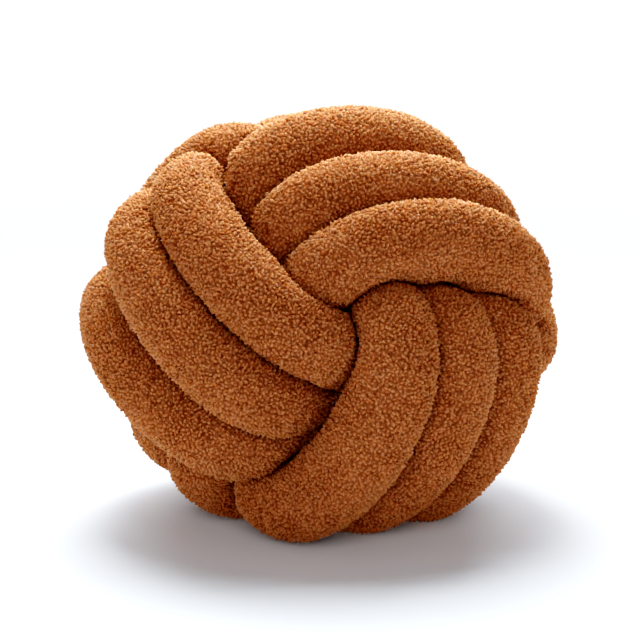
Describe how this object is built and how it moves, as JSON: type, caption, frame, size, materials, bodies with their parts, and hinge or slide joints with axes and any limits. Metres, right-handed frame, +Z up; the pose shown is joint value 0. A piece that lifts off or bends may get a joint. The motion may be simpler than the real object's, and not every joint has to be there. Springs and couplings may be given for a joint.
{
  "type": "knot cushion",
  "caption": "Ball-shaped knot cushion: a long stuffed boucle tube wound into interlocked bands at right angles, flattened a little where it rests.",
  "frame": {"origin": "on the ground, under the middle of the cushion's box", "axes": "+Z up; -Y towards the side that the picture shows; +X to that side's right"},
  "size_m": [0.3032, 0.2954, 0.2645],
  "materials": {
    "boucle": "curly wool-like pile, matt, caramel brown"
  },
  "bodies": {
    "root": {"knotted_tube": "boucle"}
  },
  "joints": []
}
